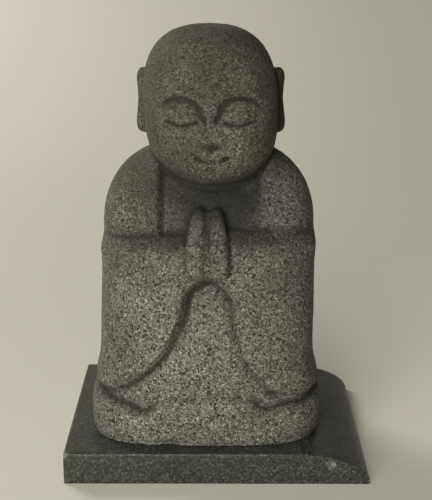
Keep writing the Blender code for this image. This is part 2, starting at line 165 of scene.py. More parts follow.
def flake(name, place, radius, shape):
    """The hollow that a knocked-off flake leaves: a squashed ball with a rough surface."""
    ball = bmesh.new()
    bmesh.ops.create_icosphere(ball, subdivisions=4, radius=radius)
    bmesh.ops.scale(ball, vec=shape, verts=ball.verts)
    for vert in ball.verts:
        vert.co *= 1.0 + 0.10 * noise.noise(vert.co / 0.0012)
    bmesh.ops.translate(ball, vec=place, verts=ball.verts)
    mesh = bpy.data.meshes.new(name)
    ball.to_mesh(mesh)
    ball.free()
    cutter = bpy.data.objects.new(name, mesh)
    bpy.context.scene.collection.objects.link(cutter)
    return cutter


def cut_away(mesh, cutters):
    """The mesh less its cutters, which are then removed."""
    body = bpy.data.objects.new("uncut", mesh)
    bpy.context.scene.collection.objects.link(body)
    for cutter in cutters:
        cut = body.modifiers.new(cutter.name, "BOOLEAN")
        cut.operation = "DIFFERENCE"
        cut.object = cutter
    graph = bpy.context.evaluated_depsgraph_get()
    made = bpy.data.meshes.new_from_object(body.evaluated_get(graph))
    for obj in [body, *cutters]:
        bpy.data.objects.remove(obj)
    return made


def add_node(material, kind, inputs=None, **settings):
    """A shader node with its settings. Each input takes a plain value or another node's output."""
    made = material.node_tree.nodes.new("ShaderNode" + kind)
    for name, value in settings.items():
        setattr(made, name, value)
    for name, value in (inputs or {}).items():
        if isinstance(value, bpy.types.NodeSocket):
            material.node_tree.links.new(value, made.inputs[name])
        else:
            made.inputs[name].default_value = value
    return made


def mix(material, share, first, second, way="MIX"):
    """Two colours mixed by a share from 0 to 1."""
    made = add_node(material, "Mix", {0: share, 6: first, 7: second}, data_type="RGBA", blend_type=way)
    return made.outputs[2]


def stepped(material, value, stops, way="LINEAR"):
    """A colour for each range of a value: stops are (from, colour)."""
    made = add_node(material, "ValToRGB", {"Fac": value})
    band = made.color_ramp
    band.interpolation = way
    for element, (place, colour) in zip(band.elements, (stops[0], stops[-1])):
        element.position = place
        element.color = (*colour, 1.0)
    for place, colour in stops[1:-1]:
        band.elements.new(place).color = (*colour, 1.0)
    return made.outputs[0]


def grains(material, place, size, wobble):
    """Interlocking crystals of about that size: a random number for each."""
    stir = add_node(material, "TexNoise", {"Vector": place, "Scale": 0.9 / size, "Detail": 2.0})
    centred = add_node(
        material, "VectorMath", {0: stir.outputs["Color"], 1: (0.5, 0.5, 0.5)}, operation="SUBTRACT"
    )
    drift = add_node(
        material, "VectorMath", {0: centred.outputs[0], "Scale": wobble * size}, operation="SCALE"
    )
    stirred = add_node(material, "VectorMath", {0: place, 1: drift.outputs[0]}, operation="ADD")
    cells = add_node(material, "TexVoronoi", {"Vector": stirred.outputs[0], "Scale": 1.0 / size})
    pick = add_node(material, "SeparateColor", {0: cells.outputs["Color"]})
    return pick.outputs[0]


def new_stone(name, roughness):
    """A material with its shader, and the place on the stone that its patterns follow."""
    material = bpy.data.materials.new(name)
    material.use_nodes = True
    shader = material.node_tree.nodes["Principled BSDF"]
    shader.inputs["Roughness"].default_value = roughness
    place = add_node(material, "TexCoord").outputs["Object"]
    return material, shader, place


def keep(mesh, name, values):
    """A value for each point of the mesh, for its material to read."""
    attribute = mesh.attributes.new(name, "FLOAT", "POINT")
    attribute.data.foreach_set("value", values.astype(np.float32))


def slab_granite():
    material, shader, place = new_stone("sawn_dark_granite", SLAB_ROUGHNESS)
    pick = grains(material, place, SLAB_GRAIN, 0.9)
    stops = [(0.0, SLAB_DARK), (0.34, SLAB_BODY), (0.58, SLAB_GREY), (0.90, SLAB_PALE)]
    colour = stepped(material, pick, stops, "CONSTANT")
    fine = add_node(material, "TexNoise", {"Vector": place, "Scale": 2600.0, "Detail": 3.0})
    veil = stepped(material, fine.outputs["Fac"], [(0.3, SLAB_DARK), (0.7, SLAB_GREY)])
    colour = mix(material, SLAB_VEIL, colour, veil)
    cloud = add_node(material, "TexNoise", {"Vector": place, "Scale": 24.0, "Detail": 3.0})
    tone = stepped(material, cloud.outputs["Fac"], [(0.3, (0.86,) * 3), (0.7, (1.12,) * 3)])
    colour = mix(material, 1.0, colour, tone, "MULTIPLY")
    bruised = add_node(material, "Attribute", attribute_name="bruised").outputs["Fac"]
    colour = mix(material, bruised, colour, (*BRUISE, 1.0))
    material.node_tree.links.new(colour, shader.inputs["Base Color"])
    relief = add_node(material, "TexNoise", {"Vector": place, "Scale": 1500.0, "Detail": 3.0})
    bump = add_node(
        material, "Bump", {"Height": relief.outputs["Fac"], "Strength": 0.25, "Distance": SLAB_RELIEF}
    )
    material.node_tree.links.new(bump.outputs[0], shader.inputs["Normal"])
    return material


block = slab_block()
bare = bpy.data.meshes.new("granite_slab_stone")
block.to_mesh(bare)
block.free()
write_points(bare, ground_edge(read_points(bare)))
write_points(bare, worn_arris(read_points(bare), read_normals(bare)))
corner = Vector((SLAB_LOW.x - 0.2 * CORNER_CHIP, SLAB_LOW.y, SLAB_HIGH.z + 0.1 * CORNER_CHIP))
bruise = Vector((
    SLAB_HIGH.x - FRONT_CHIP_AT[0] * NOSING_REACH,
    SLAB_LOW.y - 0.45 * FRONT_CHIP,
    FRONT_CHIP_AT[1] * SLAB_THICKNESS,
))
slab_mesh = cut_away(bare, [
    flake("corner_flake", corner, CORNER_CHIP, CORNER_CHIP_SHAPE),
    flake("front_flake", bruise, FRONT_CHIP, FRONT_CHIP_SHAPE),
])

# The freshly broken stone of the two chips is paler, with a ragged edge and uneven inside
slab_points = read_points(slab_mesh)
bruised = np.zeros(len(slab_points))
for spot, radius in ((corner, CORNER_CHIP), (bruise, FRONT_CHIP)):
    away = np.linalg.norm(slab_points - np.array(spot), axis=1) / radius
    bruised += ramp(1.12 - away + 0.35 * swells(slab_points, 0.0011), 0.0, 0.3)
bruised *= 0.45 + 0.6 * swells(slab_points, 0.0007)
keep(slab_mesh, "bruised", np.clip(bruised, 0.0, BRUISE_AT_MOST))
slab_mesh.shade_smooth()
slab_mesh.set_sharp_from_angle(angle=SHARP_FROM)
slab_mesh.materials.clear()
slab_mesh.materials.append(slab_granite())
slab = bpy.data.objects.new("granite_slab_stone", slab_mesh)
bpy.context.scene.collection.objects.link(slab)
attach(slab, "root")
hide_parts("granite_slab")


# The figure
# One block of pale, coarse granite, carved in the round and hammered all over. Weather has turned
# the head and shoulders olive brown, and dirt and painted shade darken the grooves and hollows. It
# stands loose on the slab.
# Its own sizes are in parts of its height.
FIGURE_LOW, FIGURE_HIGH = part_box("jizo_figure")
PARTS = 249.0
PART = (FIGURE_HIGH.z - FIGURE_LOW.z) / PARTS
SKIN_GRAIN = 0.8
SKIN_TRIANGLES = 194000

# Masses as level sections: level, middle, half width, front, back, squareness.
# Each is closed by a dome at both ends: its tip, where it springs from, and its fullness
# across, in front and behind.
BODY = [
    (0.0, -1.3, 73.2, 61.0, 56.8, 3.8),
    (16.0, -1.3, 73.3, 61.0, 57.0, 3.8),
    (26.0, -1.4, 71.8, 59.0, 55.4, 3.5),
    (40.0, -1.4, 68.3, 56.8, 53.2, 3.1),
    (76.0, -0.6, 66.7, 55.4, 51.8, 2.8),
    (122.0, 0.0, 66.0, 50.8, 48.6, 2.6),
    (180.5, 0.3, 66.0, 47.0, 47.0, 2.2),
]
BODY_FOOT = (-7.0, 6.0, (3.6, 3.6, 3.6))
BODY_SHOULDERS = (180.5, 125.0, (2.4, 2.3, 2.4))
HEAD = [
    (155.2, 3.0, 41.1, 45.2, 40.6, 2.1),
    (202.0, 1.4, 41.1, 45.2, 40.6, 2.4),
    (249.0, 0.0, 41.1, 45.2, 40.6, 2.1),
]
HEAD_CHIN = (155.2, 202.0, (2.9, 5.0, 2.1))
HEAD_CROWN = (249.0, 202.0, (2.62, 2.45, 2.7))
EAR = [
    (181.6, 0.0, 5.3, 6.8, 6.4, 2.4),
    (202.0, 0.0, 4.7, 7.2, 8.8, 2.4),
    (222.4, 0.0, 5.3, 7.6, 10.8, 2.4),
]
EAR_LOBE = (181.6, 189.0, (2.3, 2.3, 2.3))
EAR_TIP = (222.4, 214.0, (2.3, 2.3, 2.3))
HAND = [
    (104.0, 6.9, 6.7, 12.4, 12.0, 2.6),
    (114.0, 7.1, 7.0, 13.6, 12.0, 2.7),
    (127.0, 6.7, 6.5, 11.4, 12.0, 2.7),
    (147.0, 5.0, 4.2, 3.0, 12.0, 2.4),
]
HAND_HEEL = (103.8, 109.5, (2.2, 2.2, 2.2))
HAND_TIP = (147.0, 140.0, (2.2, 2.2, 2.2))
BETWEEN_HANDS = [
    (104.0, 0.0, 6.0, 9.2, 12.0, 2.6),
    (114.0, 0.0, 6.0, 10.4, 12.0, 2.6),
    (127.0, 0.0, 5.6, 8.4, 12.0, 2.6),
    (145.0, 0.0, 4.4, 1.6, 12.0, 2.4),
]
BETWEEN_HANDS_TOP = (145.0, 138.0, (2.2, 2.2, 2.2))
HEAD_FORWARD = 4.0
EAR_AT = (41.0, 3.0)
HANDS_MEET_AT = -0.2
HANDS_FORWARD = 48.0

# Where the foot stands on the slab: its edge is this far in from the slab's left and front
LEFT_MARGIN = 0.0130
FRONT_MARGIN = 0.0098

# Carved lines on the robe, seen from the front: across, level
ROBE_EDGE = [
    (-84.0, 27.4), (-57.5, 33.6), (-29.5, 54.0), (-16.4, 78.0), (-9.6, 98.4), (2.0, 103.6),
    (13.4, 95.0), (18.4, 73.0), (26.6, 49.6), (43.0, 32.8), (84.0, 27.0),
]
HEM = [
    (-84.0, 28.2), (-64.0, 27.2), (-50.0, 24.9), (-38.0, 22.4), (-30.5, 26.6), (-18.0, 28.6),
    (-4.0, 30.0), (13.5, 30.4), (25.5, 28.2), (35.0, 23.6), (46.0, 25.2), (62.0, 24.8), (84.0, 26.6),
]
SECOND_HEM_CUT = [(37.0, 32.4), (52.0, 30.0), (68.0, 27.0)]
ARM_LINE_LEFT = 130.6
ARM_LINE_RIGHT = 134.0
ARM_LINE_DROOP = 8.0
ARM_LINE_HALF = 66.0
FOREARM_LEVEL = 119.0
WRIST_AT = (-17.5, 113.0)
BREAST_LEFT = -29.3
BREAST_RIGHT = 25.0
NECK_RIGHT = 36.0
LAPEL_PITS = (134.5, 142.5)
SLEEVE_BACK_EDGE = 27.0
HEM_AT_BACK = 26.0
BACK_STARTS = 10.0
COLLAR_LEVEL = 163.0
FOOT_CHIP_AT = (-23.0, 0.5)

# How far the robe's carving stands out or is cut in
SLEEVE_RISE = 2.6
FOREARM_RISE = 2.0
SLEEVE_SIDE_RISE = 0.9
LEFT_EDGE_CUT = 3.0
RIGHT_EDGE_CUT = 1.5
ROBE_SINK = 3.6
SKIRT_SWELL = 3.0
SKIRT_FLARE = 2.2
WRIST_RISE = 2.4
ARM_CUT = 2.6
BREAST_SINK = 3.4
NECK_SINK = 3.4
LAPEL_CUT = 1.3
LAPEL_PIT = 1.2
HEM_CUT = 1.5
HEM_CUT_AT_ENDS = 3.3
SECOND_HEM_DEPTH = 1.5
SLEEVE_BACK_CUT = 1.2
COLLAR_CUT = 1.2
BACK_FOLDS = 0.8
FOOT_CHIP_DEPTH = 2.6

# The face, as shares of the head's height above the chin, on a child's proportions
CHIN_LEVEL = HEAD_CHIN[0]
HEAD_HEIGHT = HEAD_CROWN[0] - CHIN_LEVEL
BROW_SHARE = 0.61
EYE_SHARE = 0.44
NOSE_SHARE = 0.31
MOUTH_SHARE = 0.20
EYE_FROM_NOSE = 16.5

# The dressed skin, in parts: each kind of mark's spacing and depth
HAND_WORK = (30.0, 0.40)
LUMPS = (9.0, 0.26)
HAMMER_MARKS = (3.0, 0.42)
PITS = (7.5, 0.70)
FOOT_PITS = [(6.7, 19.3, 1.3), (18.2, 26.5, 1.5)]
FOOT_PIT_DEPTH = 1.3
FOOT_BITES_APART = 8.5
FOOT_BITE_DEPTH = 2.6

# The stone's crystals and what lies on them
FIGURE_ROUGHNESS = 0.85
FIGURE_RELIEF = 0.0005
FIGURE_GRAIN = 0.00078
CLOT = 0.0013
CLOT_DARK_BELOW = 0.07
CLOT_PALE_ABOVE = 0.93
MICA = (0.010, 0.010, 0.008)
QUARTZ = (0.088, 0.086, 0.074)
FELDSPAR = (0.188, 0.184, 0.161)
PALE_FELDSPAR = (0.36, 0.352, 0.314)
STAIN = (0.405, 0.40, 0.338)
PATINA = (0.050, 0.048, 0.036)
PATINA_COVER = 0.33
# The two dark colours below paint both dirt and shade: in hollows, grooves and the sheltered places
# listed further on
SOIL_AND_SHADE = (0.13, 0.128, 0.105)
GROOVE_DIRT_AND_SHADE = (0.013, 0.012, 0.009)
DIRT_AND_SHADE_COVER = 0.5
GLINT = (0.45, 0.44, 0.40)
GLINT_SIZE = 0.0011
GLINT_ABOVE = 0.997

# How weathered the stone is: everywhere, higher up, and on what faces the sky
AGED_ALL_OVER = 0.36
AGED_HIGH_UP = 0.50
AGED_ON_TOP = 0.16

# How much dirt and painted shade broad hollows and fine grooves get, what the face's painted shade
# adds to each, and the most
BROAD_DIRT_AND_SHADE = 0.58
FINE_DIRT_AND_SHADE = 0.38
FACE_BROAD_SHADE = 0.28
FACE_FINE_SHADE = 0.24
MOST_DIRT_AND_SHADE = 0.92
BROAD_ROUNDS = 110
FINE_ROUNDS = 10

# Where painted shade and dirt are added, or taken away where the last number is below nought: under
# the chin, beside the hands, along the arm line, on the right ear, in the hem and on the sleeves. Then
# where the weathering is lightened, partly painted light where light falls on the lower robe, the
# base's left and the right shoulder,
# and partly stone washed clean by rain: across, level, how far it spreads each way, and how much
PAINTED_SHADE_AND_DIRT = [
    (0.0, 150.0, 31.0, 16.0, 0.92), (16.0, 143.0, 14.0, 14.0, 0.78),
    (0.0, 127.0, 64.0, 7.0, 0.66), (47.0, 202.0, 6.0, 26.0, 1.10), (-46.0, 152.0, 18.0, 18.0, 0.22),
    (-39.0, 202.0, 7.0, 22.0, -0.40), (-62.0, 27.0, 13.0, 3.6, 0.62), (-44.0, 22.6, 10.0, 3.4, 0.52),
    (8.0, 32.5, 17.0, 4.2, 0.34), (60.0, 26.0, 15.0, 4.0, 0.40), (-50.0, 62.0, 16.0, 22.0, 0.15),
    (46.0, 104.0, 18.0, 14.0, 0.17),
]
LIT_AND_WASHED = [
    (-4.0, 48.0, 32.0, 35.0, 1.0), (-50.0, 8.0, 22.0, 14.0, 0.6), (46.0, 152.0, 15.0, 22.0, 0.7),
]


def mound(across, up, width, height):
    """A round-topped swelling: 1 at its middle, fading over its width and height."""
    return np.exp(-((across / width) ** 2) - (up / height) ** 2)


def smooth_run(points, count):
    """A smooth run of rows through the given ones, evenly spaced along the first two columns."""
    points = np.array(points, float)
    steps = np.linalg.norm(np.diff(points[:, :2], axis=0), axis=1)
    along = np.concatenate([[0.0], np.cumsum(steps)])
    at = np.linspace(0.0, along[-1], count)
    slope = np.gradient(points, along, axis=0)
    i = np.clip(np.searchsorted(along, at, side="right") - 1, 0, len(along) - 2)
    span = (along[i + 1] - along[i])[:, None]
    t = (at - along[i])[:, None] / span
    start = (1 + 2 * t) * (1 - t) ** 2 * points[i] + t * (1 - t) ** 2 * span * slope[i]
    end = t * t * (3 - 2 * t) * points[i + 1] + t * t * (t - 1) * span * slope[i + 1]
    return start + end


def beside(line, across, up):
    """Distance from a carved line in the front view, positive on the left of its direction."""
    line = smooth_run(line, 60)
    nearest = np.full(len(across), np.inf)
    side = np.ones(len(across))
    for start, end in zip(line[:-1], line[1:]):
        step = end - start
        off_x, off_z = across - start[0], up - start[1]
        t = np.clip((off_x * step[0] + off_z * step[1]) / (step @ step), 0.0, 1.0)
        gap = np.hypot(off_x - t * step[0], off_z - t * step[1])
        closer = gap < nearest
        nearest[closer] = gap[closer]
        turn = step[0] * off_z - step[1] * off_x
        side[closer] = np.where(turn[closer] >= 0, 1.0, -1.0)
    return nearest * side


def dome(level, tip, springing, fullness):
    """How far a section is drawn in towards a domed end: 1 at the springing, 0 at the tip."""
    share = np.clip((level - springing) / (tip - springing), 0.0, 1.0)
    return (1.0 - share ** fullness) ** (1.0 / fullness)


def bulk(name, sections, low, high, fineness):
    """A ball pushed out to level sections, each a rounded rectangle, and domed at both ends."""
    shape = bmesh.new()
    bmesh.ops.create_icosphere(shape, subdivisions=fineness, radius=1.0)
    mesh = bpy.data.meshes.new(name)
    shape.to_mesh(mesh)
    shape.free()
    x, y, z = read_points(mesh).T
    z = np.clip(z, -1.0, 1.0)
    level = low[0] + (high[0] - low[0]) * (z + 1.0) / 2.0
    rows = smooth_run(sections, 300)
    middle, half, front, back, square = (np.interp(level, rows[:, 0], size) for size in rows.T[1:])
    half, front, back = (
        size * dome(level, *low[:2], low[2][k]) * dome(level, *high[:2], high[2][k])
        for k, size in enumerate((half, front, back))
    )
    turn = np.arctan2(y, x)
    c, s = np.cos(turn), np.sin(turn)
    reach = (np.abs(c) ** square + np.abs(s) ** square) ** (-1.0 / square)
    depth = np.where(s < 0, front, back)
    write_points(mesh, np.stack([middle + c * reach * half, s * reach * depth, level], 1))
    return mesh


def push(mesh, amount, along):
    write_points(mesh, read_points(mesh) + amount[:, None] * along)


def carve_robe(mesh):
    """The sleeves, the robe between them, the arm line, the open breast and the hem."""
    x, y, z = read_points(mesh).T
    normals = read_normals(mesh)
    facing = ramp(-normals[:, 1], 0.0, 0.55)
    around = ramp(SLEEVE_BACK_EDGE - y, -1.5, 2.5)
    arm_line = ARM_LINE_LEFT + (ARM_LINE_RIGHT - ARM_LINE_LEFT) * ramp(x, -8.0, 8.0)
    arm_line -= ARM_LINE_DROOP * (x / ARM_LINE_HALF) ** 2
    below_arm = ramp(arm_line - z, -0.8, 8.5)

    past_edge = beside(ROBE_EDGE, x, z)
    on_left = ramp(-x, -6.0, 4.0)
    sharp = ramp(past_edge, -1.2, 2.6)
    soft = ramp(past_edge, -3.4, 5.0)
    in_sleeve = sharp * on_left + soft * (1.0 - on_left)
    sleeves = SLEEVE_RISE * in_sleeve * below_arm * facing * ramp(z, 24.0, 31.0)
    forearms = FOREARM_RISE * np.exp(-(((z - FOREARM_LEVEL) / 10.0) ** 2))
    forearms *= ramp(np.abs(x), 6.0, 18.0)
    forearms += WRIST_RISE * mound(x - WRIST_AT[0], z - WRIST_AT[1], 8.0, 13.0)
    sleeves += forearms * facing * below_arm
    sleeves += SLEEVE_SIDE_RISE * around * below_arm * ramp(z, 24.0, 31.0) * (1.0 - facing)

    left_width = 1.9 + 1.2 * ramp(z, 50.0, 72.0)
    left_cut = LEFT_EDGE_CUT * np.exp(-(((past_edge + 0.9 * left_width) / left_width) ** 2))
    left_cut *= ramp(z, 26.0, 36.0)
    right_cut = RIGHT_EDGE_CUT * np.exp(-(((past_edge + 2.6) / 3.4) ** 2)) * ramp(z, 24.0, 34.0)
    cuts = (left_cut * on_left + right_cut * (1.0 - on_left)) * facing

    robe = ramp(z, 42.0, 100.0) * below_arm * (1.0 - in_sleeve) * facing
    swell = SKIRT_SWELL * mound(x - 0.5, z - 62.0, 19.0, 44.0)
    swell += SKIRT_FLARE * mound(x + 8.0, z - 42.0, 34.0, 12.0)
    between = ROBE_SINK * robe - swell * facing * (1.0 - in_sleeve)

    outside_hands = ramp(np.abs(x), 11.0, 15.0)
    far_out = ramp(np.abs(x), 24.0, 42.0)
    arm_gap = (z - arm_line - 0.9) / (1.5 + 2.4 * far_out)
    arm_cut = ARM_CUT * (1.0 - 0.4 * far_out) * np.exp(-(arm_gap ** 2))
    arm_cut *= outside_hands * ramp(-y, 2.0, 36.0)

    right_lapel = BREAST_RIGHT + (NECK_RIGHT - BREAST_RIGHT) * ramp(z, 138.0, 162.0)
    breast = ramp(x - BREAST_LEFT, -1.0, 2.2) * ramp(right_lapel - x, -3.0, 5.0)
    above_arm = ramp(z - arm_line, 0.0, 2.0) * facing
    neck_slope = NECK_SINK * ramp(z, 140.0, 160.0) * ramp(x, -34.0, 4.0)
    lapel_cut = LAPEL_CUT * np.exp(-(((x - BREAST_LEFT - 1.0) / 1.3) ** 2))
    for level in LAPEL_PITS:
        lapel_cut += LAPEL_PIT * mound(x - BREAST_LEFT - 1.0, z - level, 2.2, 2.4)
    breast_depth = ((BREAST_SINK + neck_slope) * breast + lapel_cut) * above_arm

    hem_gap = beside(HEM, x, z)
    hem_gap = np.where(y > BACK_STARTS, z - HEM_AT_BACK, hem_gap)
    at_ends = ramp(np.abs(x + 3.0), 26.0, 34.0)
    hem_depth = HEM_CUT + (HEM_CUT_AT_ENDS - HEM_CUT) * at_ends
    hem_width = 2.6 + np.where(x < 0, 0.8, -0.1) * at_ends
    hem_cut = hem_depth * np.exp(-((hem_gap / hem_width) ** 2)) * np.where(y > BACK_STARTS, 0.6, 1.0)
    second_cut = SECOND_HEM_DEPTH * np.exp(-((beside(SECOND_HEM_CUT, x, z) / 1.5) ** 2))
    hem_cut += second_cut * (y < 0)

    behind = ramp(y, SLEEVE_BACK_EDGE - 6.0, SLEEVE_BACK_EDGE + 1.0)
    back_cut = SLEEVE_BACK_CUT * np.exp(-(((y - SLEEVE_BACK_EDGE) / 2.0) ** 2)) * ramp(z, 30.0, 38.0)
    back_cut *= ramp(-z, -128.0, -112.0)
    collar = COLLAR_CUT * np.exp(-(((z - COLLAR_LEVEL) / 2.4) ** 2)) * behind
    folds = BACK_FOLDS * np.cos(x / 7.6) * ramp(y, 30.0, 44.0) * ramp(z, 28.0, 60.0)
    folds *= ramp(-z, -150.0, -118.0)

    amount = sleeves + folds - cuts - between - arm_cut - breast_depth - hem_cut - back_cut - collar
    push(mesh, amount * (z > -1.0), normals)

    x, y, z = read_points(mesh).T
    chip = mound(x - FOOT_CHIP_AT[0], z - FOOT_CHIP_AT[1], 5.5, 2.2) * facing
    push(mesh, FOOT_CHIP_DEPTH * chip, np.array([[0.0, 1.0, 0.0]]))


def carve_face(mesh):
    """A calm child's face with closed eyes. Levels are shares of the head's height."""
    x, y, z = read_points(mesh).T
    facing = ramp(-read_normals(mesh)[:, 1], 0.1, 0.5)
    brow, eye, nose, mouth = (
        CHIN_LEVEL + share * HEAD_HEIGHT
        for share in (BROW_SHARE, EYE_SHARE, NOSE_SHARE, MOUTH_SHARE)
    )
    x = x - np.interp(z, [row[0] for row in HEAD], [row[1] for row in HEAD])
    out = np.abs(x)

    brow_line = [
        (3.6, eye + 5.0), (5.2, eye + 9.5), (9.5, brow - 2.2),
        (17.0, brow), (25.0, brow - 1.8), (31.0, brow - 6.0),
    ]
    under_brow = -beside(brow_line, out, z)
    fade = ramp(-out, -35.0, -24.0)
    face = 0.8 * np.exp(-(((under_brow + 1.6) / 2.2) ** 2)) * fade
    face -= 1.9 * np.exp(-(((under_brow - 2.0) / 2.8) ** 2)) * fade

    face += 1.8 * mound(out - EYE_FROM_NOSE - 0.5, z - (eye + 3.0), 9.5, 4.4)
    lid_line = [
        (EYE_FROM_NOSE - 8.5, eye + 0.6), (EYE_FROM_NOSE, eye - 1.6),
        (EYE_FROM_NOSE + 9.5, eye + 0.6),
    ]
    face -= 1.8 * np.exp(-((beside(lid_line, out, z) / 1.1) ** 2))
    face += 0.6 * mound(out - EYE_FROM_NOSE, z - (eye - 4.2), 8.0, 2.2)

    down_nose = np.clip((eye + 8.0 - z) / (eye + 8.0 - nose), 0.0, 1.0)
    nose_half = 3.2 + 2.2 * down_nose
    bridge = (0.9 + 3.3 * down_nose ** 1.6) * np.exp(-((x / nose_half) ** 2))
    face += bridge * ramp(z, nose - 1.8, nose + 2.6) * ramp(-z, -eye - 14.0, -eye - 5.0)
    face += 1.7 * mound(out - 5.4, z - (nose + 2.8), 2.8, 2.8)
    face -= 0.7 * mound(x, z - (nose - 4.0), 1.8, 2.4)

    face += 1.9 * mound(x, z - mouth, 9.0, 5.0)
    mouth_line = [
        (-8.5, mouth + 1.9), (-4.2, mouth + 0.2), (0.0, mouth + 0.1),
        (4.2, mouth + 0.2), (8.5, mouth + 1.9),
    ]
    face -= 2.1 * np.exp(-((beside(mouth_line, x, z) / 1.3) ** 2))
    face -= 0.6 * mound(out - 9.6, z - (mouth + 2.2), 2.2, 2.2)
    face -= 1.0 * mound(x, z - (mouth - 5.6), 6.0, 1.8)
    face += 1.6 * mound(x, z - (CHIN_LEVEL + 9.0), 9.0, 4.4)
    face += 2.0 * mound(out - 22.0, z - (eye - 14.0), 11.0, 11.0)
    push(mesh, face * facing, np.array([[0.0, -1.0, 0.0]]))


def shifted(mesh, offset):
    write_points(mesh, read_points(mesh) + np.array(offset))
    return mesh


def mirrored(mesh):
    """The same mass on the other side."""
    write_points(mesh, read_points(mesh) * np.array([-1.0, 1.0, 1.0]))
    mesh.flip_normals()
    return mesh


def head():
    mesh = bulk("head", HEAD, HEAD_CHIN, HEAD_CROWN, 8)
    carve_face(mesh)
    return shifted(mesh, (0.0, -HEAD_FORWARD, 0.0))


def ear():
    """A long lobe, hollowed on its outer face."""
    mesh = bulk("ear", EAR, EAR_LOBE, EAR_TIP, 6)
    x, y, z = read_points(mesh).T
    rim = ((y - 1.4) / 5.0) ** 2 + ((z - 207.0) / 11.5) ** 2
    bowl = 2.4 * np.exp(-(rim ** 2)) * (x > 0)
    write_points(mesh, np.stack([x - bowl + EAR_AT[0], y + EAR_AT[1], z], 1))
    return mesh


def hand():
    """A mitten of a hand with a full heel, its fingers leaning in to meet the other's."""
    mesh = bulk("hand", HAND, HAND_HEEL, HAND_TIP, 6)
    x, y, z = read_points(mesh).T
    crease = 0.5 * np.exp(-(((z - 116.8 - 0.25 * (x - 6.5)) / 1.2) ** 2))
    push(mesh, -crease, read_normals(mesh))
    return shifted(mesh, (0.0, -HANDS_FORWARD, 0.0))


def palms():
    """The stone left between the two hands, under the groove that parts them."""
    mesh = bulk("palms", BETWEEN_HANDS, HAND_HEEL, BETWEEN_HANDS_TOP, 6)
    return shifted(mesh, (0.0, -HANDS_FORWARD, 0.0))


def robe():
    mesh = bulk("robe", BODY, BODY_FOOT, BODY_SHOULDERS, 8)
    carve_robe(mesh)
    return mesh


def fused(meshes):
    """One skin round several overlapping masses, softened where they meet, cut flat below."""
    heap = bmesh.new()
    for mesh in meshes:
        heap.from_mesh(mesh)
        bpy.data.meshes.remove(mesh)
    together = bpy.data.meshes.new("masses")
    heap.to_mesh(together)
    heap.free()
    mass = bpy.data.objects.new("masses", together)
    bpy.context.scene.collection.objects.link(mass)
    skin = mass.modifiers.new("Skin", "REMESH")
    skin.mode = "VOXEL"
    skin.voxel_size = SKIN_GRAIN
    graph = bpy.context.evaluated_depsgraph_get()
    skinned = bpy.data.meshes.new_from_object(mass.evaluated_get(graph))
    bpy.data.objects.remove(mass)
    bpy.data.meshes.remove(together)

    shape = bmesh.new()
    shape.from_mesh(skinned)
    for _ in range(3):
        bmesh.ops.smooth_vert(
            shape, verts=shape.verts, factor=0.5, use_axis_x=True, use_axis_y=True, use_axis_z=True
        )
    everything = shape.verts[:] + shape.edges[:] + shape.faces[:]
    cut = bmesh.ops.bisect_plane(
        shape, geom=everything, plane_co=(0, 0, 0), plane_no=(0, 0, 1), clear_inner=True
    )
    rim = [edge for edge in cut["geom_cut"] if isinstance(edge, bmesh.types.BMEdge)]
    bmesh.ops.contextual_create(shape, geom=rim)
    bmesh.ops.triangulate(shape, faces=[face for face in shape.faces if len(face.verts) > 4])
    bmesh.ops.recalc_face_normals(shape, faces=shape.faces)
    shape.to_mesh(skinned)
    shape.free()
    return skinned


def dress_skin(mesh):
    """The marks of the work: slow unevenness, lumps, hammer marks and pits, all into the stone."""
    points = read_points(mesh)
    swing, lump, mark = (
        depth * (0.5 + 0.5 * swells(points, size, 7.0 * k))
        for k, (size, depth) in enumerate((HAND_WORK, LUMPS, HAMMER_MARKS))
    )
    spacing, pit_depth = PITS
    nearest = [noise.voronoi(Vector(point)) for point in points / spacing]
    gap = np.array([near[0][0] for near in nearest])
    which = np.array([near[1][0] for near in nearest])
    chance = np.modf(np.abs(np.sin(which @ np.array([12.99, 78.23, 37.72])) * 437.5))[0]
    pits = pit_depth * np.exp(-((gap / (0.10 + 0.08 * chance)) ** 2)) * (chance > 0.55)
    above_foot = ramp(points[:, 2], 0.15, 1.2)
    for across, level, radius in FOOT_PITS:
        pit = mound(points[:, 0] - across, points[:, 2] - level, radius, radius)
        pits += FOOT_PIT_DEPTH * pit * (points[:, 1] < -40.0)
    push(mesh, -(swing + lump + mark + pits) * above_foot, read_normals(mesh))

    points = read_points(mesh)
    bites = np.clip(swells(points, FOOT_BITES_APART, 31.0) - 0.12, 0.0, 1.0)
    bites *= ramp(-points[:, 2], -4.5, -0.6)
    out = read_normals(mesh)
    out[:, 2] = 0.0
    push(mesh, -FOOT_BITE_DEPTH * bites, out)


def thinned(mesh, triangles):
    """The same skin on fewer triangles, most of them where it bends."""
    body = bpy.data.objects.new("thick_skin", mesh)
    bpy.context.scene.collection.objects.link(body)
    fewer = body.modifiers.new("Fewer", "DECIMATE")
    fewer.ratio = min(1.0, triangles / sum(len(face.vertices) - 2 for face in mesh.polygons))
    graph = bpy.context.evaluated_depsgraph_get()
    made = bpy.data.meshes.new_from_object(body.evaluated_get(graph))
    bpy.data.objects.remove(body)
    return made


def hollowness(mesh, rounds):
    """How far each point lies below its smoothed surroundings, along its normal."""
    points = read_points(mesh)
    pairs = np.empty(len(mesh.edges) * 2, np.int32)
    mesh.edges.foreach_get("vertices", pairs)
    a, b = pairs.reshape(-1, 2).T
    count = np.bincount(pairs, minlength=len(points))[:, None]
    calm = points.copy()
    for _ in range(rounds):
        total = np.stack([
            np.bincount(a, calm[b, k], len(points)) + np.bincount(b, calm[a, k], len(points))
            for k in range(3)
        ], 1)
        calm = 0.5 * calm + 0.5 * total / count
    return ((calm - points) * read_normals(mesh)).sum(1)


